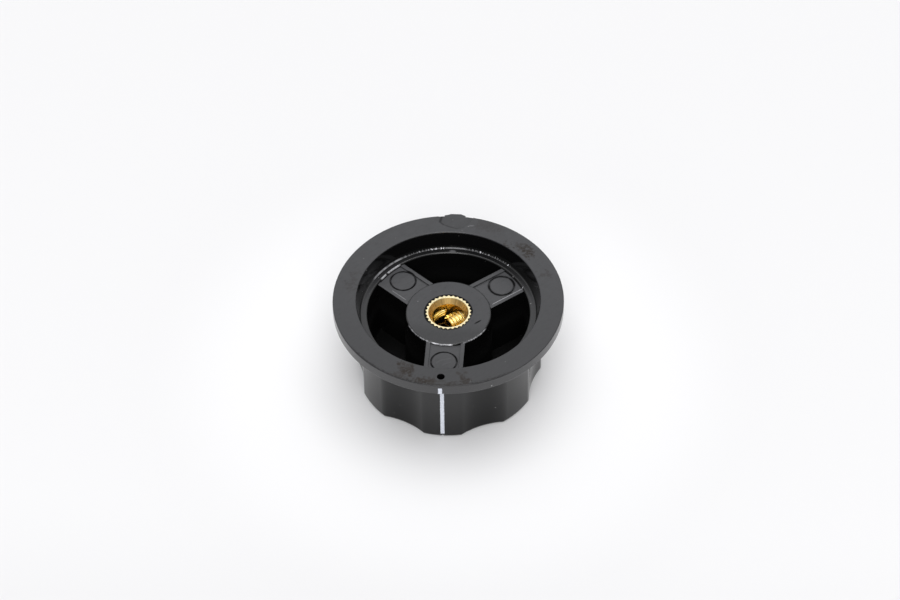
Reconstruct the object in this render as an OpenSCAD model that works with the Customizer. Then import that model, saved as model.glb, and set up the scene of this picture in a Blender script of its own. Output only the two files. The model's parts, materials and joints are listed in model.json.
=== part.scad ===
// Control knob with a fluted grip, a skirt flange, a knurled brass insert and a radial set screw.
// It lies on its crown: z = 0 is the crown face, +Z is the shaft axis and points out of the bore,
// and the index mark is on the -Y side. Sizes are in millimetres and angles in degrees.

/* [Grip] */
// Height from the crown face to the flat face of the flange
knob_h = 20; // [17:0.5:26]
// Diameter over the lobes of the grip
grip_d = 36.6; // [32:0.2:44]
// Number of lobes round the grip
lobe_count = 7; // [5:1:9]
// Depth of the flutes between the lobes
flute_depth = 1.2; // [0.6:0.1:2]
// Radius of the hollow of each flute
flute_r = 15.5; // [10:0.5:24]
// Radius of the rounded corner between a lobe and a flute
lobe_corner_r = 2.5; // [1:0.1:4]
// Radius of the rounded edge of the crown
crown_round = 0.7; // [0.3:0.1:1]

/* [Flange] */
// How far the flange stands out past the lobes of the grip
flange_overhang = 4.2; // [2.5:0.1:8]
// Thickness of the flange at its rim
flange_rim_t = 2.4; // [1.6:0.1:3.6]
// Thickness of the flange where its underside meets the grip
flange_root_t = 4.8; // [3.8:0.1:7]
// Radius of the broken edges of the flange
flange_edge_r = 0.25; // [0.1:0.05:0.5]

/* [Recess] */
// Wall left between the cavity and the bottom of a flute
wall_t = 1.25; // [0.9:0.05:2.5]
// Thickness of the crown under the cavity
crown_t = 3; // [1.6:0.1:5]
// Draft of the cavity wall and of the hub
cavity_draft = 0.8; // [0.2:0.1:2]
// Depth of the recess from the flange face to its ledge
recess_depth = 3.85; // [2.5:0.05:6]
// Width of the ledge round the cavity
ledge_w = 1.35; // [1:0.05:2.4]
// How much wider the recess is at the flange face than at its ledge, on each side
recess_flare = 0.75; // [0.3:0.05:1.2]
// Radius of the fillet at the outside of the ledge
ledge_fillet_r = 0.3; // [0.15:0.05:0.5]
// Radius of the fillet round the floor of the cavity
floor_fillet_r = 0.8; // [0.3:0.1:1.2]
// Radius of the rounded edge at the inside of the ledge
ledge_edge_r = 0.3; // [0.1:0.05:0.5]

/* [Hub and ribs] */
// Depth of the hub's top below the ledge
hub_drop = 0.2; // [0:0.05:0.6]
// Diameter of the hub at its top
hub_d = 16.9; // [14:0.1:20]
// Radius of the rounded edge of the hub
hub_edge_r = 0.35; // [0.1:0.05:0.8]
// Width of each rib
rib_w = 7.5; // [6.4:0.1:9]
// How far the tops of the ribs lie below the hub
rib_drop = 0.15; // [0.1:0.05:0.8]
// Width of the rail along each side of a rib
rail_w = 0.8; // [0.4:0.05:1]
// Height of those rails over the middle of the rib
rail_h = 0.3; // [0.1:0.05:0.6]
// Diameter of the round pin mark on each rib
pin_mark_d = 5; // [3:0.1:5.2]
// Distance from the cavity wall to the middle of a pin mark
pin_mark_inset = 3.4; // [3:0.1:4.4]
// Width and depth of the groove round a pin mark
pin_groove = 0.25; // [0.1:0.05:0.4]

/* [Insert] */
// Diameter of the shaft that the knob fits
shaft_d = 6; // [5:0.05:6.1]
// Radial clearance of the shaft in its seat
shaft_gap = 0.0275; // [0.005:0.0025:0.05]
// Diameter of the insert over its knurl
insert_d = 9; // [8.8:0.1:11]
// Number of teeth in the knurl
tooth_count = 30; // [20:1:40]
// Angle by which the knurl is turned in the hub
tooth_turn = -3; // [-6:0.5:6]
// Height of the teeth of the knurl
tooth_h = 0.35; // [0.15:0.05:0.4]
// Clearance between the tips of the teeth and the moulding
tooth_gap = 0.02; // [0.01:0.01:0.05]
// Clearance at the roots of the teeth, which the moulding does not fill
root_gap = 0.15; // [0.05:0.01:0.25]
// How far the insert stands out of the hub
insert_proud = 0.13; // [0.05:0.01:0.6]
// Thickness of the moulding under the insert
insert_floor_t = 3.6; // [2:0.1:5]
// Diameter of the bore where it is eased, from the countersink to below the set screw
eased_d = 6.4; // [6.4:0.05:6.8]
// How far the eased stretch runs on below the set screw
eased_run = 0.5; // [0.3:0.1:1]
// Diameter of the countersink at the face of the insert
countersink_d = 7.9; // [7.1:0.1:8]
// Depth of the countersink
countersink_depth = 1.15; // [0.5:0.05:1.5]

/* [Set screw] */
// Diameter of the set screw
screw_d = 4; // [3:0.1:4.4]
// Length of the set screw
screw_len = 10; // [8:0.5:13]
// Depth of the screw's axis below the face of the insert
screw_drop = 3.95; // [3.8:0.05:6]
// Distance of the screw's tip from the axis of the bore
screw_tip_r = 0; // [-1:0.1:2.8]
// Radial clearance of the screw in the hole through the insert
screw_gap = 0.03; // [0.01:0.01:0.08]
// Radial clearance of the screw in its tunnel through the moulding
tunnel_gap = 0.2; // [0.1:0.05:0.4]
// Width of the driver slot
slot_w = 0.7; // [0.5:0.05:1]
// Depth of the driver slot
slot_depth = 1.4; // [0.8:0.1:2]
// Chamfer at each end of the screw
screw_chamfer = 0.45; // [0.2:0.05:0.7]
// Diameter of the cup in the screw's tip
cup_d = 2; // [1:0.1:2.2]
// Depth of that cup
cup_depth = 0.5; // [0.2:0.05:1]

/* [Index mark] */
// Width of the index groove at the surface
groove_w = 0.95; // [0.6:0.05:1.4]
// Depth of the index groove
groove_depth = 0.55; // [0.3:0.05:0.7]
// How far the paint lies below the surface
paint_drop = 0.07; // [0.03:0.01:0.15]
// Height over the crown face at which the paint ends
paint_end = 0.9; // [0.3:0.1:3]
// How far below the flat face of the flange the groove and its paint stop
index_stop = 0.75; // [0.3:0.05:1.2]

/* [Flange marks] */
// Diameter of the small blind hole in the flange
blind_hole_d = 1.5; // [0.8:0.1:2]
// Depth of the blind hole
blind_hole_depth = 1.6; // [0.8:0.1:2]
// Distance from the rim to the middle of the blind hole
blind_hole_inset = 2.35; // [1.6:0.05:3]
// Width of the broken gate on the rim
gate_w = 3.9; // [2:0.1:5]
// How far the broken gate stands out of the rim
gate_out = 0.65; // [0.2:0.05:1]
// Height of the broken gate, up to the flat face of the flange
gate_h = 1.45; // [0.6:0.05:1.6]
// Radius of the chipped patch round the gate
chip_r = 3.5; // [2:0.1:4]
// Depth of the chipped patch
chip_depth = 0.25; // [0.05:0.01:0.4]

/* [Hidden] */
$fn = 96;

// Room that a cut runs on past the surface it opens
cut = 1;
// Number of short steps that stand for a small rounded edge
edge_steps = 4;
// Broken outline of the gate, as shares of its length and width
gate_outline = [[0.35, -0.48], [1, -0.24], [0.96, 0.27], [0.55, 0.4], [0.3, 0.58]];
// How far each rib's pin mark lies off its even place, out along the rib and to its left
pin_mark_shift = [[0, 0], [0.4, 0.2], [0.15, -0.5]];

index_angle = -90;
lobe_pitch = 360 / lobe_count;
// The ribs stand under the index mark and under the flutes two and a half pitches to either side
rib_angles = [index_angle, index_angle + 2.5 * lobe_pitch, index_angle - 2.5 * lobe_pitch];
screw_angle = rib_angles[1];

grip_r = grip_d / 2;
flute_centre = grip_r - flute_depth + flute_r;
flange_r = grip_r + flange_overhang;
flange_underside = knob_h - flange_rim_t;
flange_root = knob_h - flange_root_t;

cavity_r = grip_r - flute_depth - wall_t;
ledge_r = cavity_r + ledge_w;
recess_r = ledge_r + recess_flare;
recess_lean = atan2(recess_flare, recess_depth);
// Distance from the leaning wall's edge to the middle of a rounding, as a share of its radius
lean_share = (1 - sin(recess_lean)) / cos(recess_lean);
ledge_z = knob_h - recess_depth;
cavity_floor_r = cavity_r - (ledge_z - crown_t) * tan(cavity_draft);

hub_r = hub_d / 2;
hub_top = ledge_z - hub_drop;
hub_foot_r = hub_r + (hub_top - crown_t) * tan(cavity_draft);
rib_top = hub_top - rib_drop;
pin_mark_at = cavity_r - pin_mark_inset;

insert_top = hub_top + insert_proud;
insert_len = insert_top - insert_floor_t;
insert_r = insert_d / 2;
seat_r = shaft_d / 2 + shaft_gap;
screw_r = screw_d / 2;
screw_z = insert_top - screw_drop;
eased_bottom = screw_z - screw_r - eased_run;

// The corner between a lobe and a flute, with the flute's middle along +X
corner_reach = grip_r - lobe_corner_r;
corner_x = (corner_reach^2 - (flute_r + lobe_corner_r)^2 + flute_centre^2) / (2 * flute_centre);
corner_y = sqrt(corner_reach^2 - corner_x^2);
corner_lobe_angle = atan2(corner_y, corner_x);
corner_flute_angle = atan2(-corner_y, flute_centre - corner_x);

// Points of an arc, from one angle to another
function arc(x, y, r, from, to, steps = edge_steps) = [
    for (i = [0:steps])
        let (a = from + (to - from) * i / steps)
        [x + r * cos(a), y + r * sin(a)]
];

// Wedge that holds one rounded corner of the grip, from its centre outwards
module corner_wedge() {
    reach = lobe_corner_r + cut;
    middle = (corner_lobe_angle + corner_flute_angle) / 2;
    far = reach / cos((corner_lobe_angle - corner_flute_angle) / 2);
    translate([corner_x, corner_y])
        polygon([
            [0, 0],
            reach * [cos(corner_flute_angle), sin(corner_flute_angle)],
            far * [cos(middle), sin(middle)],
            reach * [cos(corner_lobe_angle), sin(corner_lobe_angle)]
        ]);
}

// Places its children at both corners of every flute
module at_corners() {
    for (i = [0:lobe_count - 1], side = [0, 1])
        rotate(index_angle + (i + 0.5) * lobe_pitch)
            mirror([0, side, 0])
                children();
}

// Fluted outline of the grip: lobes, flutes and the rounded corners between them
module grip_outline() {
    difference() {
        circle(r = grip_r);
        for (i = [0:lobe_count - 1])
            rotate(index_angle + (i + 0.5) * lobe_pitch)
                translate([flute_centre, 0])
                    circle(r = flute_r);
        at_corners()
            corner_wedge();
    }
    at_corners()
        intersection() {
            corner_wedge();
            translate([corner_x, corner_y])
                circle(r = lobe_corner_r);
        }
}

// Fluted grip, with the edge of its crown rounded along the lobes and along the flutes
module grip() {
    difference() {
        linear_extrude(flange_underside)
            grip_outline();
        rotate_extrude()
            polygon(concat(
                arc(grip_r - crown_round, crown_round, crown_round, -90, 0),
                [[grip_r + cut, crown_round], [grip_r + cut, -cut], [grip_r - crown_round, -cut]]
            ));
        for (i = [0:lobe_count - 1])
            rotate(index_angle + (i + 0.5) * lobe_pitch)
                translate([flute_centre, 0, 0])
                    rotate_extrude()
                        polygon(concat(
                            arc(flute_r + crown_round, crown_round, crown_round, -90, -180),
                            [
                                [flute_r - cut, crown_round],
                                [flute_r - cut, -cut],
                                [flute_r + crown_round, -cut]
                            ]
                        ));
    }
}

// Flange with a sloping underside, solid to the axis
module flange() {
    rotate_extrude()
        polygon(concat(
            [[0, flange_root], [grip_r, flange_root]],
            arc(flange_r - flange_edge_r, flange_underside + flange_edge_r, flange_edge_r, -60, 0),
            arc(flange_r - flange_edge_r, knob_h - flange_edge_r, flange_edge_r, 0, 90),
            [[0, knob_h]]
        ));
}

// Everything that is hollow under the flange face, before the hub and ribs stand in it
module recess() {
    fillet_at = ledge_r - ledge_fillet_r * lean_share;
    edge_at = recess_r + flange_edge_r * lean_share;
    rotate_extrude()
        polygon(concat(
            [[0, crown_t]],
            arc(cavity_floor_r - floor_fillet_r, crown_t + floor_fillet_r, floor_fillet_r, -90, 0),
            arc(cavity_r + ledge_edge_r, ledge_z - ledge_edge_r, ledge_edge_r, 180, 90),
            arc(fillet_at, ledge_z + ledge_fillet_r, ledge_fillet_r, -90, -recess_lean),
            arc(edge_at, knob_h - flange_edge_r, flange_edge_r, 180 - recess_lean, 90),
            [[edge_at, knob_h + cut], [0, knob_h + cut]]
        ));
}

// Drafted hub with a rounded edge
module hub() {
    rotate_extrude()
        polygon(concat(
            [[0, crown_t - cut], [hub_foot_r, crown_t - cut], [hub_foot_r, crown_t]],
            arc(hub_r - hub_edge_r, hub_top - hub_edge_r, hub_edge_r, 0, 90),
            [[0, hub_top]]
        ));
}

// One rib along +X, with a rail along each side and a round pin mark
module rib(mark_shift) {
    floor_z = rib_top - rail_h;
    difference() {
        translate([0, -rib_w / 2, crown_t - cut])
            cube([cavity_r + ledge_edge_r, rib_w, rib_top - crown_t + cut]);
        translate([hub_r - cut, -rib_w / 2 + rail_w, floor_z])
            cube([cavity_r, rib_w - 2 * rail_w, rail_h + cut]);
        translate([pin_mark_at + mark_shift[0], mark_shift[1], floor_z - pin_groove])
            difference() {
                cylinder(h = pin_groove + cut, d = pin_mark_d + pin_groove);
                translate([0, 0, -cut])
                    cylinder(h = pin_groove + 3 * cut, d = pin_mark_d - pin_groove);
            }
    }
}

// Straight knurl as a ring of pointed teeth
module knurl(tip_r, root_r) {
    half_pitch = 180 / tooth_count;
    polygon([
        for (i = [0:2 * tooth_count - 1])
            let (r = i % 2 == 0 ? tip_r : root_r)
            r * [cos(i * half_pitch + tooth_turn), sin(i * half_pitch + tooth_turn)]
    ]);
}

// Places its children on the axis of the set screw, with +Z pointing out of the knob
module on_screw_axis() {
    translate([0, 0, screw_z])
        rotate([0, 90, screw_angle])
            children();
}

// Run of the index mark up the grip, out along the underside and up the rim, as radius and height
index_path = [
    [grip_r, 0],
    [grip_r, flange_root],
    [flange_r, flange_underside],
    [flange_r, knob_h - index_stop]
];

// How far the groove of each run goes on past its last point
groove_after = [cut, cut, 0];
// How far the paint of each run goes on past its two points, to meet the next run
paint_before = [-paint_end, groove_depth, 0];
paint_after = [groove_depth, 0, 0];

// Straight run of a grooved section between two points of the index path, lengthened at both ends
module index_run(from, to, before, after) {
    step = to - from;
    translate([0, -from[0], from[1]])
        rotate([atan2(step[0], step[1]), 0, 0])
            translate([0, 0, -before])
                linear_extrude(norm(step) + before + after)
                    children();
}

// V section of the groove, from the given depth to its bottom
module groove_section(from_depth) {
    half = groove_w / 2 * (1 - from_depth / groove_depth);
    polygon([[-half, from_depth], [half, from_depth], [0, groove_depth]]);
}

// Groove for the index mark
module index_groove() {
    for (i = [0:2])
        index_run(index_path[i], index_path[i + 1], cut, groove_after[i])
            groove_section(-groove_depth / 2);
}

// Broken gate on the rim, opposite the index mark
module gate() {
    broken = [for (p = gate_outline) [p[0] * gate_out, p[1] * gate_w]];
    rotate(index_angle + 180)
        translate([flange_r, 0, knob_h - gate_h])
            linear_extrude(gate_h)
                polygon(concat([[-cut, broken[0][1]]], broken, [[-cut, broken[4][1]]]));
}

module knob_body() {
    color([0.1, 0.1, 0.105])
        difference() {
            union() {
                difference() {
                    union() {
                        grip();
                        flange();
                    }
                    recess();
                }
                hub();
                for (i = [0:2])
                    rotate(rib_angles[i])
                        rib(pin_mark_shift[i]);
                gate();
            }
            translate([0, 0, insert_floor_t])
                linear_extrude(insert_len + cut)
                    knurl(insert_r + tooth_gap, insert_r - tooth_h + root_gap);
            on_screw_axis()
                cylinder(h = flange_r, r = screw_r + tunnel_gap);
            index_groove();
            rotate(index_angle)
                translate([flange_r - blind_hole_inset, 0, knob_h - blind_hole_depth])
                    cylinder(h = blind_hole_depth + cut, d = blind_hole_d);
            rotate(index_angle + 180)
                translate([flange_r, 0, knob_h - chip_depth])
                    cylinder(h = chip_depth + cut, r = chip_r);
        }
}

module brass_insert() {
    color([0.78, 0.6, 0.3])
        difference() {
            translate([0, 0, insert_floor_t])
                linear_extrude(insert_len)
                    knurl(insert_r, insert_r - tooth_h);
            translate([0, 0, insert_floor_t - cut])
                cylinder(h = insert_len + 2 * cut, r = seat_r);
            translate([0, 0, eased_bottom])
                cylinder(h = insert_top - eased_bottom + cut, d = eased_d);
            translate([0, 0, insert_top - countersink_depth])
                cylinder(h = countersink_depth, d1 = eased_d, d2 = countersink_d);
            on_screw_axis()
                cylinder(h = insert_d, r = screw_r + screw_gap);
        }
}

module set_screw() {
    color([0.75, 0.62, 0.32])
        on_screw_axis()
            translate([0, 0, screw_tip_r])
                difference() {
                    rotate_extrude()
                        polygon([
                            [0, 0],
                            [screw_r - screw_chamfer, 0],
                            [screw_r, screw_chamfer],
                            [screw_r, screw_len - screw_chamfer],
                            [screw_r - screw_chamfer, screw_len],
                            [0, screw_len]
                        ]);
                    cylinder(h = cup_depth, d1 = cup_d, d2 = 0);
                    translate([-slot_w / 2, -screw_d, screw_len - slot_depth])
                        cube([slot_w, 2 * screw_d, slot_depth + cut]);
                }
}

module index_paint() {
    color([0.85, 0.87, 0.9])
        for (i = [0:2])
            index_run(index_path[i], index_path[i + 1], paint_before[i], paint_after[i])
                groove_section(paint_drop);
}

knob_body();
brass_insert();
set_screw();
index_paint();
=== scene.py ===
import json
import math
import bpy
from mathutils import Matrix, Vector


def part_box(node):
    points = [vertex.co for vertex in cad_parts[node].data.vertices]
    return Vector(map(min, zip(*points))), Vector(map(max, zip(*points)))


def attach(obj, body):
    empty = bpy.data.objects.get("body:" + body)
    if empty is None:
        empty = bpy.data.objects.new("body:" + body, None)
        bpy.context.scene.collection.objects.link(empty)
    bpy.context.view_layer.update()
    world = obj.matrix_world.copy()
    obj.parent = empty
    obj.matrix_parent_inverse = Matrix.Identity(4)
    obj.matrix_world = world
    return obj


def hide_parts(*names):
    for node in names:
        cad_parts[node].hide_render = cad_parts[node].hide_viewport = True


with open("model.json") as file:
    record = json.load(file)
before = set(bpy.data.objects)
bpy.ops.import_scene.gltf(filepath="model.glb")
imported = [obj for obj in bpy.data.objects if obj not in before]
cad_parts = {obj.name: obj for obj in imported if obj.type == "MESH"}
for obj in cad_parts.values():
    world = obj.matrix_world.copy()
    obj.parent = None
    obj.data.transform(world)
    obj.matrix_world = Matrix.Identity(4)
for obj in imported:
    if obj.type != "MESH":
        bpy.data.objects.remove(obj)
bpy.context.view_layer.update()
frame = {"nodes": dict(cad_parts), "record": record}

from types import SimpleNamespace

import bmesh
import bpy
from mathutils import Matrix, Vector

scene = bpy.context.scene
nodes = frame["nodes"]
MM = 0.001


def box_mm(node):
    """Lowest and highest corner of a solid, in millimetres."""
    return [[round(c / MM, 3) for c in corner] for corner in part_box(node)]


# Sizes that the frame gives, in millimetres and degrees
FLANGE_R, _, KNOB_H = box_mm("knob_body")[1]
INSERT_TOP = box_mm("brass_insert")[1][2]
SCREW_LOW, SCREW_HIGH = (corner[2] for corner in box_mm("set_screw"))
SCREW_Z = (SCREW_LOW + SCREW_HIGH) / 2
SCREW_R = (SCREW_HIGH - SCREW_LOW) / 2
SCREW_AXIS = frame["record"]["behaviour"]["joints"][0]["axis"]
SCREW_ANGLE = math.degrees(math.atan2(SCREW_AXIS[1], SCREW_AXIS[0]))

# Other driving sizes of the solids, as in the part's source
LOBES = 7
CAVITY_R = 15.85
LEDGE_W = 1.35
RECESS_FLARE = 0.75
RECESS_DEPTH = 3.85
HUB_R = 8.45
HUB_DROP = 0.2
RIB_HALF = 3.75
RIB_DROP = 0.15
RAIL_W = 0.8
CHIP_R = 3.5
BLIND_HOLE_INSET = 2.35
BLIND_HOLE_R = 0.75
INSERT_R = 4.5
COUNTERSINK_R = 3.95
COUNTERSINK_DEPTH = 1.15
SCREW_LEN = 10.0
SCREW_CHAMFER = 0.45
CUP_R = 1.0
CUP_DEPTH = 0.5
SLOT_W = 0.7
SLOT_DEPTH = 1.4

# Places that follow from them
LEDGE_R = CAVITY_R + LEDGE_W
RECESS_R = LEDGE_R + RECESS_FLARE
LEDGE_Z = KNOB_H - RECESS_DEPTH
HUB_TOP = LEDGE_Z - HUB_DROP
RIB_TOP = HUB_TOP - RIB_DROP
RIB_ANGLES = (-90.0, SCREW_ANGLE, 180.0 - SCREW_ANGLE)
RAIL_INSIDE = RIB_HALF - RAIL_W
BLIND_HOLE_Y = BLIND_HOLE_INSET - FLANGE_R
BORE_TOP = INSERT_TOP - COUNTERSINK_DEPTH

# Thread of the screw. Half of its crest and the run of its flank are shares of the pitch
THREAD_PITCH = 0.7
THREAD_DEPTH = 0.4
CREST_HALF = 0.07
FLANK_RUN = 0.31
COLUMNS = 48
ROWS_PER_TURN = 14
# Vertices nearer than this are joined, and edges sharper than this angle stay sharp
CLOSE = 0.0001
SHARP_ANGLE = 40

# Height where the finish of the grip ends, under the flange
GRIP_TOP = 16.6

# Marks of moulding and handling, and painted light and shade, in plan
PIN_MARK_R = 2.5
# Middle of each pin mark and the width of the painted shade in its ring
PIN_MARKS = ((0.0, -12.45, 0.3), (9.92, 8.17, 0.42), (-9.54, 8.25, 0.3))
PIN_SCRATCHES = (
    ((-1.4, -12.7), (-0.6, -12.0)),
    ((-0.6, -12.0), (1.2, -11.5)),
    ((-0.3, -13.3), (1.2, -12.4)),
)
CHIP_OUTLINE = ((-2.85, 22.2), (-3.1, 20.6), (-2.3, 19.9), (0.4, 18.95), (1.6, 19.3))
CHIP_SHADOW_STRENGTHS = (0.55, 0.5, 0.35, 0.2)
# Middle of each smudge, turn of its long axis, stretch along that, reach across it and strength
SMUDGES = (
    (-7.7, -16.9, 30, 1.3, 0.7, 1.0),
    (-6.5, -18.9, 60, 1.3, 1.5, 0.9),
    (-8.3, -20.6, -25, 2.0, 0.8, 0.6),
    (-5.6, -21.8, -15, 1.4, 0.6, 0.8),
    (-3.0, -21.3, 6, 2.6, 0.9, 0.9),
    (-1.0, -22.0, 0, 2.0, 0.6, 0.8),
    (1.5, -22.0, 0, 2.2, 0.8, 0.7),
    (4.4, -20.6, 100, 1.9, 1.1, 0.8),
    (9.4, -20.2, 25, 2.0, 0.6, 0.5),
    (10.8, 15.1, -40, 1.2, 0.6, 0.9),
    (14.3, 13.8, -55, 1.8, 1.25, 0.9),
    (18.4, 7.8, 20, 2.0, 0.8, 0.4),
    (-19.0, 3.4, 80, 3.2, 1.0, 0.3),
    (6.6, 20.0, -15, 2.2, 1.6, 0.3),
)
# Strokes: middle, turn of the long axis and stretch along it
HUB_SCRATCH = (5.9, -2.1, 40, 5.0)
# Painted highlight beside the chipped patch
CHIP_HIGHLIGHT = (3.2, 19.85, 8, 4.0)
# Painted pale spot of light on the ledge
LEDGE_LIGHT_SPOT = (-0.3, 16.3, 0, 2.0)
# Arcs round the axis: from angle, to angle and fade
WORN_ARC = (-134.0, -62.0, 14.0)
# Arcs where the painted shadow round the insert is wider
WIDE_GAP_SHADOW_ARCS = ((10.0, 180.0, 25.0), (-180.0, -155.0, 25.0))
# Painted glints on the ledge's inner edge
LEDGE_EDGE_ARCS = ((132.0, 141.5, 2.0), (145.0, 149.5, 1.2))
# Painted glints along the tool line in the ledge's fillet
LEFT_BEADS_ARC = (97.0, 127.0, 3.0)
RIGHT_BEADS_ARC = (50.0, 79.0, 2.0)
BACK_LINE_ARC = (83.0, 94.0, 2.0)
LEFT_LINE_ARC = (131.0, 148.0, 8.0)
# Painted sheen on the recess wall
SHEEN_ARC = (158.0, 166.0, 14.0)
# Painted reflection of the screw's thread on the wall of the bore
THREAD_REFLECTION_ARC = (110.0, 152.0, 14.0)
# Painted glints on the front of the hub's lip: from angle, to angle, fade and strength
LIP_GLINTS = ((-106.0, -84.0, 5.0, 0.9), (-62.0, -30.0, 6.0, 0.45), (-150.0, -112.0, 6.0, 0.4))
# Painted light line along a rail: angle of its rib, side, start, end and strength
RAIL_LIGHTS = ((SCREW_ANGLE, -1.0, 8.6, 15.6, 0.36), (180.0 - SCREW_ANGLE, 1.0, 8.8, 12.0, 0.2))
# Beads of the painted glints in the fillet, to a full turn
BEADS_PER_TURN = 160

# Heights of the relief and radii of the softened edges
GRAIN_HEIGHT = 0.003
STREAK_HEIGHT = 0.01
RIDGE_HEIGHT = 0.6
ENAMEL_HEIGHT = 0.03
MOULDING_EDGE = 0.12
BRASS_EDGE = 0.06

# Colours of the moulding
SHADED_SATIN_FRONT = (0.025, 0.0252, 0.0278, 1)
SATIN_BACK = (0.037, 0.0376, 0.041, 1)
SATIN_CLOUD = (0.026, 0.0262, 0.0284, 1)
PAINTED_LIGHT_TOP = (0.065, 0.0655, 0.07, 1)
DARKER_BLACK = (0.012, 0.0122, 0.0135, 1)
SCUFF_PALE = (0.06, 0.0605, 0.064, 1)
CHIPPED = (0.02, 0.0202, 0.022, 1)
RIM_BLACK = (0.012, 0.012, 0.0135, 1)
GRIP_BLACK = (0.0018, 0.0018, 0.002, 1)
LEDGE_FRONT = (0.024, 0.024, 0.026, 1)
SHADED_LEDGE_BACK = (0.0025, 0.0025, 0.003, 1)
# Polished black, also darkened as painted shade in the recess
POLISHED_AND_SHADED_BLACK = (0.0036, 0.0036, 0.0037, 1)
SMUDGE_BROWN = (0.023, 0.0165, 0.0115, 1)
WORN_BROWN = (0.014, 0.0135, 0.013, 1)
# Painted shadow and shade in edges, rings, the insert's gap and the blind hole, also used for a scratch
SHADE_AND_SCRATCH_BLACK = (0.002, 0.002, 0.002, 1)
DUST_GREY = (0.35, 0.35, 0.35, 1)
# Painted highlights and glints, also used for pale scratches
GLINT_AND_SCRATCH_WHITE = (0.8, 0.8, 0.84, 1)

# Colours of the brass and the enamel
INSERT_BRASS = (0.96, 0.78, 0.38)
SCREW_BRASS = (0.97, 0.84, 0.45)
FACE_BRASS = (0.95, 0.83, 0.52, 1)
CONE_PALE = (0.66, 0.46, 0.19, 1)
CONE_DEEP = (0.45, 0.3, 0.11, 1)
MOUTH_BRASS = (0.64, 0.45, 0.17, 1)
# Painted shade deep in the bore
SHADED_DEEP_BRASS = (0.3, 0.19, 0.06, 1)
# Dark and pale of the painted reflection of the screw's thread
THREAD_REFLECTION_DARK = (0.62, 0.4, 0.09, 1)
THREAD_REFLECTION_PALE = (1.0, 0.88, 0.44, 1)
ENAMEL_PALE = (0.74, 0.77, 0.85, 1)
ENAMEL_GREY = (0.6, 0.63, 0.7, 1)
ENAMEL_THIN = (0.08, 0.08, 0.09, 1)


class Value:
    """A number, colour or vector in a node tree. The usual signs work on a number."""

    def __init__(self, tree, socket):
        self.tree = tree
        self.socket = socket

    def __add__(self, other):
        return self.tree.math("ADD", self, other)

    def __sub__(self, other):
        return self.tree.math("SUBTRACT", self, other)

    def __rsub__(self, other):
        return self.tree.math("SUBTRACT", other, self)

    def __mul__(self, other):
        return self.tree.math("MULTIPLY", self, other)

    def __truediv__(self, other):
        return self.tree.math("DIVIDE", self, other)

    def __abs__(self):
        return self.tree.math("ABSOLUTE", self)

    def ramp(self, low, high, to_low, to_high):
        """Smooth step from to_low where the number is low to to_high where it is high."""
        node = self.tree.add("ShaderNodeMapRange", interpolation_type="SMOOTHSTEP")
        ends = {"Value": self, "From Min": low, "From Max": high, "To Min": to_low, "To Max": to_high}
        for name, value in ends.items():
            self.tree.put(node.inputs[name], value)
        return Value(self.tree, node.outputs["Result"])

    def rise(self, low, high):
        """0 below low, 1 above high."""
        return self.ramp(low, high, 0.0, 1.0)

    def fall(self, low, high):
        """1 below low, 0 above high."""
        return self.ramp(low, high, 1.0, 0.0)

    def within(self, low, high, soft):
        """1 between low and high, fading to 0 over soft outside them."""
        return self.rise(low - soft, low) * self.fall(high, high + soft)


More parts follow.
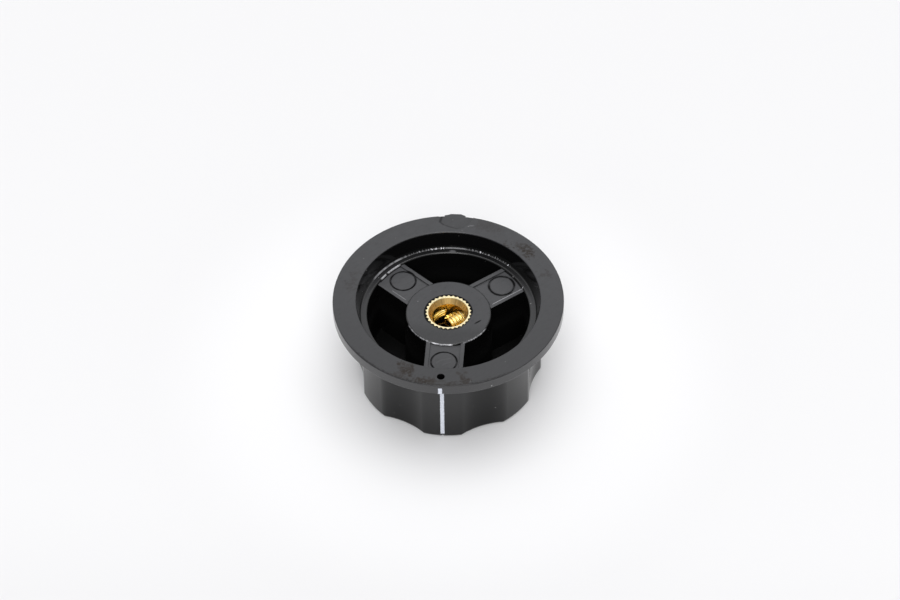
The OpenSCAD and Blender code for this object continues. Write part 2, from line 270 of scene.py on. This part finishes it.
class Tree:
    """One node tree, with short ways to add to it. The functions below call it t."""

    def __init__(self, tree):
        self.tree = tree
        tree.nodes.clear()

    def add(self, kind, **values):
        node = self.tree.nodes.new(kind)
        for name, value in values.items():
            setattr(node, name, value)
        return node

    def put(self, socket, value):
        """Link a Value to a socket, or set the socket to a plain number or colour."""
        if isinstance(value, Value):
            self.tree.links.new(value.socket, socket)
        else:
            socket.default_value = value

    def math(self, sign, a, b=0.0):
        node = self.add("ShaderNodeMath", operation=sign)
        self.put(node.inputs[0], a)
        self.put(node.inputs[1], b)
        return Value(self, node.outputs[0])

    def most(self, *values):
        """The largest of some numbers."""
        value = values[0]
        for other in values[1:]:
            value = self.math("MAXIMUM", value, other)
        return value

    def length(self, a, b):
        return self.math("SQRT", a * a + b * b)

    def cosine(self, angle, waves):
        """Cosine with so many waves to a full turn of an angle in degrees."""
        return self.math("COSINE", angle * math.radians(waves))

    def noise(self, vector, scale, detail=2.0, rough=0.5):
        node = self.add("ShaderNodeTexNoise")
        settings = {"Vector": vector, "Scale": scale, "Detail": detail, "Roughness": rough}
        for name, value in settings.items():
            self.put(node.inputs[name], value)
        return Value(self, node.outputs["Fac"])

    def mix(self, factor, a, b):
        """A colour between a and b."""
        node = self.add("ShaderNodeMix", data_type="RGBA")
        for name, value in (("Factor", factor), ("A", a), ("B", b)):
            self.put([s for s in node.inputs if s.name == name and s.enabled][0], value)
        return Value(self, [s for s in node.outputs if s.enabled][0])

    def layered(self, base, *layers):
        """A colour with others laid over it in turn, each with its own amount."""
        for amount, colour in layers:
            base = self.mix(amount, base, colour)
        return base

    def blend(self, factor, a, b):
        """A number between a and b."""
        return (1.0 - factor) * a + factor * b

    def soft_edges(self, radius, samples):
        """Normal as if the edges had a radius in millimetres."""
        node = self.add("ShaderNodeBevel", samples=samples)
        node.inputs["Radius"].default_value = radius * MM
        return Value(self, node.outputs["Normal"])

    def bump(self, height, strength, normal=None):
        """Normal bent by a height in millimetres."""
        node = self.add("ShaderNodeBump")
        self.put(node.inputs["Height"], height)
        self.put(node.inputs["Strength"], strength)
        node.inputs["Distance"].default_value = MM
        if normal is not None:
            self.put(node.inputs["Normal"], normal)
        return Value(self, node.outputs["Normal"])

    def vector(self, x, y, z):
        node = self.add("ShaderNodeCombineXYZ")
        for socket, value in zip(node.inputs, (x, y, z)):
            self.put(socket, value)
        return Value(self, node.outputs[0])

    def dot(self, a, b):
        node = self.add("ShaderNodeVectorMath", operation="DOT_PRODUCT")
        self.put(node.inputs[0], a)
        self.put(node.inputs[1], b)
        return Value(self, node.outputs["Value"])

    def split(self, vector):
        node = self.add("ShaderNodeSeparateXYZ")
        self.put(node.inputs[0], vector)
        return [Value(self, socket) for socket in node.outputs]

    def place(self):
        """Place on the object in millimetres, with its radius r and its angle in degrees.

        up and out say how far the surface faces up and away from the axis.
        """
        scale = self.add("ShaderNodeVectorMath", operation="SCALE")
        self.put(scale.inputs[0], Value(self, self.add("ShaderNodeTexCoord").outputs["Object"]))
        scale.inputs["Scale"].default_value = 1 / MM
        self.co = Value(self, scale.outputs[0])
        self.x, self.y, self.z = self.split(self.co)
        self.r = self.length(self.x, self.y)
        self.angle = self.math("DEGREES", self.math("ARCTAN2", self.y, self.x))
        normal = Value(self, self.add("ShaderNodeNewGeometry").outputs["True Normal"])
        normal_x, normal_y, self.up = self.split(normal)
        self.out = (normal_x * self.x + normal_y * self.y) / self.r

    def in_arcs(self, *arcs):
        """1 in any of some arcs round the axis."""
        return self.most(*(self.angle.within(*arc) for arc in arcs))

    def turned(self, x, y, turn, at=None):
        """Lengths in plan from a point, along a turned X and a turned Y."""
        c, s = math.cos(math.radians(turn)), math.sin(math.radians(turn))
        at_x, at_y = at or (self.x, self.y)
        dx, dy = at_x - x, at_y - y
        return dx * c + dy * s, dy * c - dx * s

    def from_point(self, x, y, turn=0.0, stretch=1.0, at=None):
        """Distance in plan from a point, with lengths along the turned X divided by stretch."""
        along, across = self.turned(x, y, turn, at)
        return self.length(along / stretch, across)

    def from_line(self, start, end):
        """Distance in plan from a straight stretch between two points."""
        middle = (Vector(start) + Vector(end)) / 2
        stretch = Vector(end) - Vector(start)
        along, across = self.turned(middle.x, middle.y, math.degrees(math.atan2(stretch.y, stretch.x)))
        past = abs(along) - stretch.length / 2
        return self.length(self.most(past, 0.0), across)


def new_material(name):
    material = bpy.data.materials.new(name)
    material.use_nodes = True
    t = Tree(material.node_tree)
    t.place()
    shader = t.add("ShaderNodeBsdfPrincipled")
    t.put(t.add("ShaderNodeOutputMaterial").inputs["Surface"], Value(t, shader.outputs[0]))
    return material, t, shader


def give(obj, material):
    obj.data.materials.clear()
    obj.data.materials.append(material)


def rib_middle(t, turn):
    """1 between the outer sides of the rib that points along an angle."""
    along, across = t.turned(0.0, 0.0, turn)
    return abs(across).fall(RIB_HALF - 0.35, RIB_HALF - 0.25) * along.rise(0.0, 1.0)


def moulding_zones(t):
    """Where each finish of the moulding is, from 0 to 1."""
    skin = t.most(t.out.rise(0.2, 0.4) * t.r.rise(CAVITY_R + 0.2, CAVITY_R + 0.4), t.up.fall(-0.5, -0.3))
    below_face = t.z.fall(KNOB_H - 0.3, KNOB_H - 0.2)
    recess = t.r.fall(RECESS_R + 0.02, RECESS_R + 0.12) * below_face * (1.0 - skin)
    level = t.up.rise(0.97, 0.995)
    off_lip = t.most(t.r.rise(HUB_R + 0.02, HUB_R + 0.08), t.y.rise(-1.0, 1.0))
    rail_steps = t.most(*(rib_middle(t, turn) for turn in RIB_ANGLES)) * off_lip * 0.75
    on_ribs = t.z.rise(RIB_TOP - 0.8, RIB_TOP - 0.7) * t.r.fall(CAVITY_R - 0.1, CAVITY_R)
    tops = t.most(level, rail_steps) * on_ribs
    ledge = level * t.z.rise(LEDGE_Z - 0.1, LEDGE_Z - 0.05) * t.r.rise(CAVITY_R, CAVITY_R + 0.1) * recess
    face = t.up.rise(0.5, 0.9) * t.z.rise(KNOB_H - 0.4, KNOB_H - 0.3)
    grip = t.z.fall(GRIP_TOP, GRIP_TOP + 0.4) * (1.0 - recess)
    return SimpleNamespace(
        recess=recess,
        tops=tops,
        ledge=ledge,
        polished=recess * (1.0 - t.most(tops, ledge)),
        face=face,
        grip=grip,
        rim=(1.0 - t.most(grip, face)) * (1.0 - recess),
    )


def moulding_grain(t):
    """Noises that the marks and finishes of the moulding share."""
    return SimpleNamespace(
        fine=t.noise(t.co, 7.0, 3.0, 0.6),
        cloud=t.noise(t.co, 0.5, 3.0, 0.6),
        ragged=t.noise(t.co, 1.3, 4.0, 0.65),
        spots=t.noise(t.co, 2.6, 4.0, 0.7),
    )


def smudges(t, zone, grain):
    """Brown handling marks on the face of the flange."""
    warped_x = t.x + t.noise(t.co, 0.55, 3.0, 0.65).ramp(0.3, 0.7, -1.1, 1.1)
    warped_y = t.y + grain.ragged.ramp(0.3, 0.7, -0.9, 0.9)
    marks = []
    for x, y, turn, stretch, reach, strength in SMUDGES:
        off_middle = t.from_point(x, y, turn, stretch, at=(warped_x, warped_y))
        marks.append(off_middle.ramp(0.4 * reach, 1.3 * reach, strength, 0.0))
    return t.most(*marks) * grain.spots.rise(0.3, 0.55) * zone.face


def worn_edge(t, zone, grain):
    """Worn front edge of the flange's face."""
    ragged_r = t.r + grain.spots * 1.9
    return ragged_r.rise(FLANGE_R + 0.4, FLANGE_R + 0.9) * t.in_arcs(WORN_ARC) * zone.face


def dark_marks(t, zone, grain):
    """Painted shadow along the chipped patch's edge, painted shade in the rings of the pin marks, in the
    gap round the insert and in the blind hole, and a scratch on the hub.
    """
    stretches = zip(CHIP_OUTLINE, CHIP_OUTLINE[1:], CHIP_SHADOW_STRENGTHS)
    # Painted shadow along the edge of the chipped patch
    chip_shadow_line = t.most(*(t.from_line(a, b).ramp(0.08, 0.36, dark, 0.0) for a, b, dark in stretches))
    # Painted shade in the ring grooves of the pin marks
    rings = t.most(*(abs(t.from_point(x, y) - PIN_MARK_R).fall(0.1, width) for x, y, width in PIN_MARKS))
    scratch = t.from_point(*HUB_SCRATCH).fall(0.1, 0.22)
    # Painted shadow in the gap round the insert, wider at the back and left
    wide = t.in_arcs(*WIDE_GAP_SHADOW_ARCS)
    gap = (t.r - wide * 0.16).fall(INSERT_R + 0.06, INSERT_R + 0.24) * t.blend(wide, 0.3, 1.0)
    # Painted shade in the blind hole
    hole = t.from_point(0.0, BLIND_HOLE_Y).fall(BLIND_HOLE_R, BLIND_HOLE_R + 0.05)
    return t.most(
        chip_shadow_line * zone.face,
        rings * zone.tops * grain.cloud.ramp(0.35, 0.6, 0.35, 1.0),
        scratch * zone.tops,
        gap * zone.tops,
        hole * t.z.fall(KNOB_H - 0.2, KNOB_H - 0.1),
    )


def chip_highlight_and_scratches(t, zone):
    """A painted highlight beside the chipped patch, and pale scratches on the front pin mark."""
    chip_highlight = t.from_point(*CHIP_HIGHLIGHT).ramp(0.08, 0.2, 0.08, 0.0)
    on_pin = t.most(*(t.from_line(*line).ramp(0.05, 0.2, 0.014, 0.0) for line in PIN_SCRATCHES))
    return t.most(chip_highlight * zone.face, on_pin * zone.tops)


def edge_glints(t, zone, grain):
    """Painted glints on the hub's lip, along the near rails of the slanting ribs and on the ledge's inner
    edge.
    """
    lip = t.r.within(HUB_R - 0.16, HUB_R + 0.02, 0.05) * t.z.rise(HUB_TOP - 0.3, HUB_TOP - 0.22)
    on_lip = t.most(*(t.angle.within(*arc) * strength for *arc, strength in LIP_GLINTS))
    glints = [lip * on_lip * grain.ragged.ramp(0.38, 0.55, 0.25, 1.0)]
    near_rib_top = t.z.rise(RIB_TOP - 0.35, RIB_TOP - 0.2) * zone.recess
    for turn, side, start, end, strength in RAIL_LIGHTS:
        along, across = t.turned(0.0, 0.0, turn)
        rail = (across * side).within(RAIL_INSIDE - 0.05, RAIL_INSIDE + 0.1, 0.05)
        glints.append(rail * along.within(start, end, 0.4) * near_rib_top * strength)
    inner_edge = t.r.within(CAVITY_R - 0.03, CAVITY_R + 0.2, 0.05)
    near_ledge = t.z.rise(LEDGE_Z - 0.35, LEDGE_Z - 0.25)
    dashes = t.in_arcs(*LEDGE_EDGE_ARCS) * grain.spots.ramp(0.35, 0.6, 0.2, 0.55)
    glints.append(inner_edge * near_ledge * dashes)
    return t.most(*glints)


def fillet_glints(t, grain):
    """Painted glints on the line that the tool left in the ledge's fillet, beaded in places."""
    at_wall = t.r.within(LEDGE_R - 0.2, LEDGE_R + 0.02, 0.06)
    fillet = at_wall * t.z.within(LEDGE_Z - 0.05, LEDGE_Z + 0.2, 0.06)
    uneven_angle = t.angle + grain.cloud * 6.0 + grain.ragged * 1.5
    bead_strength = t.noise(t.co, 0.9, 1.0).ramp(0.4, 0.66, 0.1, 1.0)
    beads = t.cosine(uneven_angle, BEADS_PER_TURN).rise(0.2, 0.9) * bead_strength
    left_beads = t.in_arcs(LEFT_BEADS_ARC) * t.angle.ramp(98.0, 116.0, 0.85, 0.4)
    beaded = beads * t.most(left_beads, t.in_arcs(RIGHT_BEADS_ARC)) * 0.9
    back_line = t.in_arcs(BACK_LINE_ARC) * 0.1
    left_line = t.in_arcs(LEFT_LINE_ARC) * grain.ragged.ramp(0.35, 0.6, 0.08, 0.3)
    return fillet * t.most(beaded, back_line, left_line)


def recess_light(t, zone, grain):
    """Painted light: a pale spot on the ledge and a faint painted sheen on the wall above it."""
    spot = t.from_point(*LEDGE_LIGHT_SPOT).fall(0.15, 0.45) * zone.ledge * 0.12
    above_ledge = t.z.within(LEDGE_Z + 0.3, LEDGE_Z + 2.4, 0.6) * zone.recess
    wall = above_ledge * t.r.rise(LEDGE_R - 0.1, LEDGE_R + 0.05)
    sheen = wall * t.in_arcs(SHEEN_ARC) * grain.ragged.ramp(0.35, 0.65, 0.01, 0.03)
    return t.most(spot, sheen)


def moulding_colour(t, zone, grain, marks):
    """Black of each zone, some zones painted lighter or darker as light and shade, with the marks,
    painted glints and painted shadows laid over it.
    """
    # Painted shade: the satin black is darker towards the front of the knob
    satin = t.mix(t.y.rise(-22.0, 14.0), SHADED_SATIN_FRONT, SATIN_BACK)
    # Painted light: the hub and rib tops are made paler, the ribs more than the hub, and less towards the
    # front
    painted_light_tops = zone.tops * t.r.ramp(HUB_R - 0.3, HUB_R, 0.12, 0.35) * t.y.ramp(-12.0, -8.0, 0.7, 1.0)
    # The front of the hub is made darker
    hub_front = zone.tops * t.r.fall(HUB_R - 0.1, HUB_R) * t.y.fall(-6.0, -2.0)
    scuffs = t.noise(t.vector((t.x + t.y) * 0.35, t.x - t.y, t.z), 1.4, 5.0, 0.7)
    chip = t.from_point(0.0, FLANGE_R).fall(CHIP_R - 0.1, CHIP_R + 0.1) * zone.face
    dust = t.noise(t.co, 1.7, 0.0).rise(0.87, 0.885)
    return t.layered(
        satin,
        (grain.cloud.rise(0.35, 0.65) * 0.35, SATIN_CLOUD),
        (painted_light_tops, PAINTED_LIGHT_TOP),
        (hub_front * 0.6, DARKER_BLACK),
        (scuffs.ramp(0.5, 0.75, 0.0, 0.45), DARKER_BLACK),
        (scuffs.ramp(0.25, 0.42, 0.3, 0.0), SCUFF_PALE),
        (chip * 0.3, CHIPPED),
        (zone.rim, RIM_BLACK),
        (zone.grip, GRIP_BLACK),
        # Painted shade: the ledge is much darker towards the back
        (zone.ledge, t.mix(t.y.rise(2.0, 14.0), LEDGE_FRONT, SHADED_LEDGE_BACK)),
        # Polished walls and floors of the recess, their black also darkened as painted shade
        (zone.polished, POLISHED_AND_SHADED_BLACK),
        (marks.smudge * 0.85, SMUDGE_BROWN),
        (marks.worn * 0.7, WORN_BROWN),
        (marks.dark * 0.9, SHADE_AND_SCRATCH_BLACK),
        (dust * 0.5, DUST_GREY),
        (marks.light, GLINT_AND_SCRATCH_WHITE),
    )


def moulding_roughness(t, zone, grain, marks):
    """Satin faces, a smoother rim and grip, a polished recess and rough marks."""
    rough = grain.fine.ramp(0.3, 0.7, 0.4, 0.48)
    rough = t.blend(zone.rim, rough, grain.fine.ramp(0.3, 0.7, 0.2, 0.26))
    rough = t.blend(zone.grip, rough, grain.fine.ramp(0.3, 0.7, 0.09, 0.14))
    rough = t.blend(zone.ledge, rough, 0.22)
    rough = t.blend(zone.polished, rough, t.z.ramp(RIB_TOP - 6.0, RIB_TOP - 1.0, 0.45, 0.11))
    return t.blend(t.most(marks.smudge, marks.worn), rough, 0.6)


def moulding_gloss(t, zone, marks):
    """Strength of the reflections: low in the flutes, the pockets and the marks, high at the sides."""
    on_lobes = t.cosine(t.angle + 90.0, LOBES).ramp(-1.0, 0.6, 0.33, 0.55)
    grip_gloss = on_lobes * t.z.ramp(1.0, 11.0, 0.8, 1.0) * abs(t.x).ramp(7.0, 17.0, 1.0, 1.25)
    gloss = t.blend(zone.rim, t.blend(zone.grip, 0.5, grip_gloss), 0.76)
    gloss = t.blend(zone.recess * t.z.fall(RIB_TOP - 8.0, RIB_TOP - 6.0), gloss, 0.15)
    dull = t.most(marks.dark, marks.worn * 0.6, marks.smudge * 0.75)
    return gloss * (1.0 - dull * 0.9)


def moulding_material():
    """Black moulding: satin faces, a polished recess, the marks of moulding and handling, and painted
    glints, shadows and shade.
    """
    material, t, shader = new_material("moulding")
    zone = moulding_zones(t)
    grain = moulding_grain(t)
    # Painted highlights, glints and sheen, with pale scratches on the front pin mark
    light = t.most(
        chip_highlight_and_scratches(t, zone),
        edge_glints(t, zone, grain),
        fillet_glints(t, grain),
        recess_light(t, zone, grain),
    )
    marks = SimpleNamespace(
        smudge=smudges(t, zone, grain),
        worn=worn_edge(t, zone, grain),
        dark=dark_marks(t, zone, grain),
        light=light,
    )
    t.put(shader.inputs["Base Color"], moulding_colour(t, zone, grain, marks))
    t.put(shader.inputs["Roughness"], moulding_roughness(t, zone, grain, marks))
    t.put(shader.inputs["Specular IOR Level"], moulding_gloss(t, zone, marks))
    edges = t.soft_edges(MOULDING_EDGE, 6)
    relief = t.bump(grain.fine * GRAIN_HEIGHT, t.blend(zone.polished, 0.5, 0.1), edges)
    t.put(shader.inputs["Normal"], relief)
    return material


def brass(t, colour):
    """Shade of turned brass, and the fine streaks along its axis."""
    streak = t.noise(t.vector(t.angle * 0.5, t.z * 0.25, t.r), 1.6, 3.0, 0.6)
    cloud = t.noise(t.co, 1.1, 3.0, 0.6)
    deep = [c * share for c, share in zip(colour, (0.9, 0.84, 0.7))]
    shade = t.layered(
        (*colour, 1),
        (streak.rise(0.35, 0.65), (*deep, 1)),
        (cloud.ramp(0.55, 0.75, 0.0, 0.3), (*(0.7 * c for c in deep), 1)),
    )
    return shade, streak


def finish_brass(t, shader, shade, rough, relief, strength):
    """Set a shader to brass, with a relief in millimetres."""
    t.put(shader.inputs["Base Color"], shade)
    shader.inputs["Metallic"].default_value = 1.0
    t.put(shader.inputs["Roughness"], rough)
    t.put(shader.inputs["Normal"], t.bump(relief, strength, t.soft_edges(BRASS_EDGE, 4)))


def screw_material():
    """Bright brass of the screw."""
    material, t, shader = new_material("screw_brass")
    shade, streak = brass(t, SCREW_BRASS)
    finish_brass(t, shader, shade, streak.ramp(0.3, 0.7, 0.16, 0.22), streak * STREAK_HEIGHT, 0.5)
    return material


def insert_material():
    """Brass of the insert: pale face, streaked countersink, painted shade deep in the bore, and on the
    left wall of the bore a painted reflection of the screw's thread with a bump like a thread.
    """
    material, t, shader = new_material("insert_brass")
    off_cone = t.r.rise(COUNTERSINK_R - 0.12, COUNTERSINK_R - 0.04)
    face = t.z.rise(INSERT_TOP - 0.2, INSERT_TOP - 0.1) * off_cone
    bore = t.z.fall(BORE_TOP - 0.05, BORE_TOP + 0.05)
    cone = (1.0 - bore) * (1.0 - face)
    cone_lines = t.noise(t.vector(t.angle * 0.16, 0.0, 0.0), 1.0, 3.0, 0.6)
    phase = t.math("FRACT", (t.z + t.angle * 0.015) / THREAD_PITCH)
    ridges = t.math("MINIMUM", 1.0 - phase, phase * 4.0)
    # Painted reflection of the screw's thread on the left wall of the bore, with a bump
    thread_reflection = bore * t.in_arcs(THREAD_REFLECTION_ARC) * t.z.within(SCREW_Z - 0.3, SCREW_Z + 0.9, 0.5)
    shade = t.layered(
        brass(t, INSERT_BRASS)[0],
        (cone, t.mix(cone_lines.rise(0.35, 0.65), CONE_PALE, CONE_DEEP)),
        (bore * t.z.rise(SCREW_Z + 1.1, SCREW_Z + 1.8), MOUTH_BRASS),
        # Painted shade: the bore is darker deep down
        (bore * t.z.fall(SCREW_Z - 2.0, SCREW_Z - 1.0), SHADED_DEEP_BRASS),
        (thread_reflection, t.mix(ridges.rise(0.0, 0.4), THREAD_REFLECTION_DARK, THREAD_REFLECTION_PALE)),
        (face, FACE_BRASS),
    )
    rough = t.blend(thread_reflection, t.blend(bore, t.blend(face, 0.42, 0.3), 0.2), 0.3)
    finish_brass(t, shader, shade, rough, ridges * thread_reflection * RIDGE_HEIGHT, 0.8)
    return material


def paint_material():
    """White enamel, thin and a little ragged along its sides."""
    material, t, shader = new_material("index_white")
    fine = t.noise(t.co, 3.0, 3.0, 0.6)
    thin = (abs(t.x) + fine * 0.28).rise(0.46, 0.56)
    t.put(shader.inputs["Base Color"], t.mix(thin, t.mix(fine, ENAMEL_PALE, ENAMEL_GREY), ENAMEL_THIN))
    shader.inputs["Roughness"].default_value = 0.45
    t.put(shader.inputs["Normal"], t.bump(fine * ENAMEL_HEIGHT, 0.5))
    return material


def thread_radius(along, phase):
    """Radius of the threaded screw at a distance from its tip, at a phase of the thread from 0 to 1."""
    down_flank = min(max((abs(phase - 0.5) - CREST_HALF) / FLANK_RUN, 0.0), 1.0)
    end = SCREW_R - SCREW_CHAMFER + min(along, SCREW_LEN - along)
    return min(SCREW_R - THREAD_DEPTH * down_flank, end)


def thread_column(mesh, turn):
    """Vertices along the screw at a share of a full turn, the thread moving on with it."""
    rows = (math.ceil(SCREW_LEN / THREAD_PITCH) + 2) * ROWS_PER_TURN + 1
    angle = 2 * math.pi * turn
    column = []
    for row in range(rows):
        step = row / ROWS_PER_TURN - 1 + turn
        along = min(max((step - 0.5) * THREAD_PITCH, 0.0), SCREW_LEN)
        radius = thread_radius(along, step % 1.0)
        column.append(mesh.verts.new((radius * math.cos(angle), radius * math.sin(angle), along)))
    return column


def merge_close(mesh):
    """Join vertices that lie on each other, and drop the flat faces that this leaves."""
    bmesh.ops.remove_doubles(mesh, verts=mesh.verts, dist=CLOSE)
    bmesh.ops.dissolve_degenerate(mesh, edges=mesh.edges, dist=CLOSE)


def threaded_shank():
    """Mesh of the screw without its slot, with its tip at the origin and its axis along Z."""
    mesh = bmesh.new()
    turns = [i / COLUMNS for i in range(COLUMNS + 1)]
    columns = [thread_column(mesh, turn) for turn in turns]
    cup = mesh.verts.new((0, 0, CUP_DEPTH))
    head = mesh.verts.new((0, 0, SCREW_LEN))
    lip = []
    for turn in turns:
        angle = 2 * math.pi * turn
        lip.append(mesh.verts.new((CUP_R * math.cos(angle), CUP_R * math.sin(angle), 0)))
    for i in range(COLUMNS):
        here, beside = columns[i], columns[i + 1]
        for row in range(len(here) - 1):
            mesh.faces.new((here[row], beside[row], beside[row + 1], here[row + 1]))
        mesh.faces.new((beside[0], here[0], lip[i], lip[i + 1]))
        mesh.faces.new((lip[i + 1], lip[i], cup))
        mesh.faces.new((here[-1], beside[-1], head))
    merge_close(mesh)
    bmesh.ops.recalc_face_normals(mesh, faces=mesh.faces)
    bmesh.ops.triangulate(mesh, faces=mesh.faces)
    data = bpy.data.meshes.new("threaded_screw")
    mesh.to_mesh(data)
    mesh.free()
    return data


def cut_slot(screw):
    """Cut the screwdriver slot into the outer end of the screw."""
    bpy.ops.mesh.primitive_cube_add(size=1.0)
    slot = bpy.context.object
    slot.scale = (SLOT_W, 3 * SCREW_R, 2 * SLOT_DEPTH)
    slot.location = (0, 0, SCREW_LEN)
    cut = screw.modifiers.new("slot", "BOOLEAN")
    cut.operation = "DIFFERENCE"
    cut.solver = "EXACT"
    cut.object = slot
    bpy.context.view_layer.update()
    data = bpy.data.meshes.new_from_object(screw.evaluated_get(bpy.context.evaluated_depsgraph_get()))
    screw.modifiers.clear()
    bpy.data.objects.remove(slot)
    mesh = bmesh.new()
    mesh.from_mesh(data)
    merge_close(mesh)
    mesh.to_mesh(data)
    mesh.free()
    screw.data = data


def threaded_screw():
    """The set screw with its helical thread, in the same place and outline as its plain solid."""
    screw = bpy.data.objects.new("threaded_screw", threaded_shank())
    scene.collection.objects.link(screw)
    cut_slot(screw)
    lift = Matrix.Translation((0, 0, SCREW_Z * MM))
    lay_down = Matrix.Rotation(math.radians(90), 4, "Y")
    turn = Matrix.Rotation(math.radians(SCREW_ANGLE), 4, "Z")
    screw.data.transform(lift @ turn @ lay_down @ Matrix.Scale(MM, 4))
    screw.data.shade_smooth()
    screw.data.set_sharp_from_angle(angle=math.radians(SHARP_ANGLE))
    return screw


def make_floor():
    """Plain pale floor, a little darker away from the knob: painted paler near it as light against its
    shadow, and darker towards the front as painted shade against the front lamp.
    """
    bpy.ops.mesh.primitive_plane_add(size=8.0)
    floor = bpy.context.object
    floor.name = "floor"
    material, t, shader = new_material("floor")
    # Painted light near the knob, painted shade far off towards the front
    near = t.mix(t.noise(t.co, 0.02), (0.835, 0.832, 0.838, 1), (0.845, 0.842, 0.85, 1))
    far = t.mix(t.y.rise(-85.0, -35.0), (0.695, 0.692, 0.698, 1), (0.75, 0.747, 0.753, 1))
    t.put(shader.inputs["Base Color"], t.mix(t.r.rise(26.0, 62.0), near, far))
    shader.inputs["Roughness"].default_value = 0.65
    floor.data.materials.append(material)
    return floor


def make_world():
    """Soft light from all round, brighter from above the back."""
    world = bpy.data.worlds.new("studio")
    scene.world = world
    world.use_nodes = True
    t = Tree(world.node_tree)
    background = t.add("ShaderNodeBackground")
    background.inputs["Color"].default_value = (0.985, 0.99, 1.0, 1)
    direction = Value(t, t.add("ShaderNodeTexCoord").outputs["Generated"])
    bright_side = (-0.053, 0.674, 0.737)
    t.put(background.inputs["Strength"], t.dot(direction, bright_side).ramp(0.55, 0.9, 0.5, 1.0))
    t.put(t.add("ShaderNodeOutputWorld").inputs["Surface"], Value(t, background.outputs[0]))


def soft_box(name, location, width, power):
    """Square lamp that faces the knob."""
    data = bpy.data.lights.new(name, "AREA")
    data.shape = "RECTANGLE"
    data.size, data.size_y = width, width
    data.energy = power
    lamp = bpy.data.objects.new(name, data)
    scene.collection.objects.link(lamp)
    lamp.location = location
    lamp.rotation_euler = (-Vector(location)).to_track_quat("-Z", "Y").to_euler()


def make_camera():
    """Camera fitted to the photograph. Lengths are in millimetres, from the middle of the flange face."""
    elevation = 0.828707
    roll = math.radians(-0.7014)
    distance, shift_right, shift_up = 582.895, -0.3429, 0.2845
    turn = Matrix.Rotation(math.radians(4.5), 3, "Z")
    right = Vector((1, 0, 0))
    up = Vector((0, math.sin(elevation), math.cos(elevation)))
    forward = Vector((0, math.cos(elevation), -math.sin(elevation)))
    centre = turn @ (-shift_right * right - shift_up * up - distance * forward) + Vector((0, 0, KNOB_H))
    axis_x = turn @ (math.cos(roll) * right + math.sin(roll) * up)
    axis_y = turn @ (-math.sin(roll) * right + math.cos(roll) * up)
    data = bpy.data.cameras.new("camera")
    data.sensor_width = 36.0
    data.lens = 120.0
    data.clip_start = 0.01
    camera = bpy.data.objects.new("camera", data)
    scene.collection.objects.link(camera)
    pose = Matrix((axis_x, axis_y, axis_x.cross(axis_y))).transposed().to_4x4()
    pose.translation = centre * MM
    camera.matrix_world = pose
    return camera


give(nodes["knob_body"], moulding_material())
give(nodes["brass_insert"], insert_material())
give(nodes["index_paint"], paint_material())
screw = threaded_screw()
give(screw, screw_material())
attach(screw, "screw")
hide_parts("set_screw")

floor = make_floor()
make_world()
soft_box("overhead", (0.15, 0.1, 3.0), 2.6, 34.5)
soft_box("front", (0.1, -2.02, 2.21), 1.8, 41.0)
scene.camera = make_camera()
scene.view_settings.view_transform = "Standard"
scene.cycles.use_denoising = True
